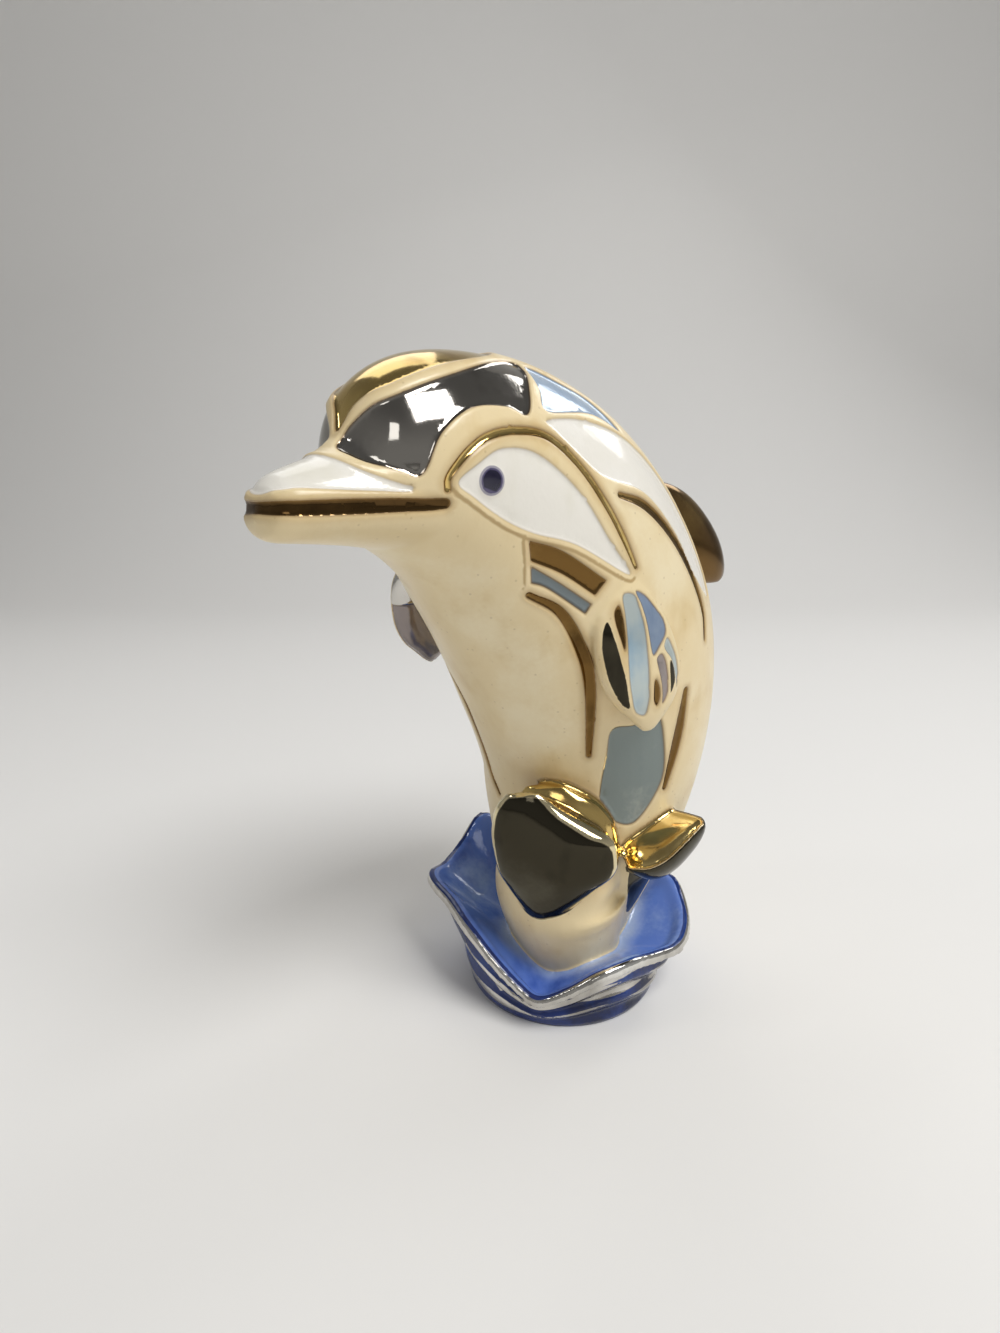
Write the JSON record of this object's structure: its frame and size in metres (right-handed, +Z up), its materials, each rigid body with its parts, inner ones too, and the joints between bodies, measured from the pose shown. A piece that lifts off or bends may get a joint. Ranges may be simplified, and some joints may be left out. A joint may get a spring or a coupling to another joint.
{
  "type": "dolphin figurine",
  "caption": "Glazed ceramic dolphin leaping from a blue wave base, with gold, platinum and pale blue inlaid fields.",
  "frame": {"origin": "centre of the flat foot under the wave base", "axes": "+Z up, nose towards -Y, the dolphin's left side towards +X"},
  "size_m": [0.0685, 0.1425, 0.146],
  "materials": {
    "glazed_ceramic": "satin cream ceramic body with gloss white, pale blue and cobalt glazes, and gold and platinum lustre fields"
  },
  "bodies": {
    "root": {"dolphin_figurine": "glazed_ceramic"}
  },
  "joints": []
}
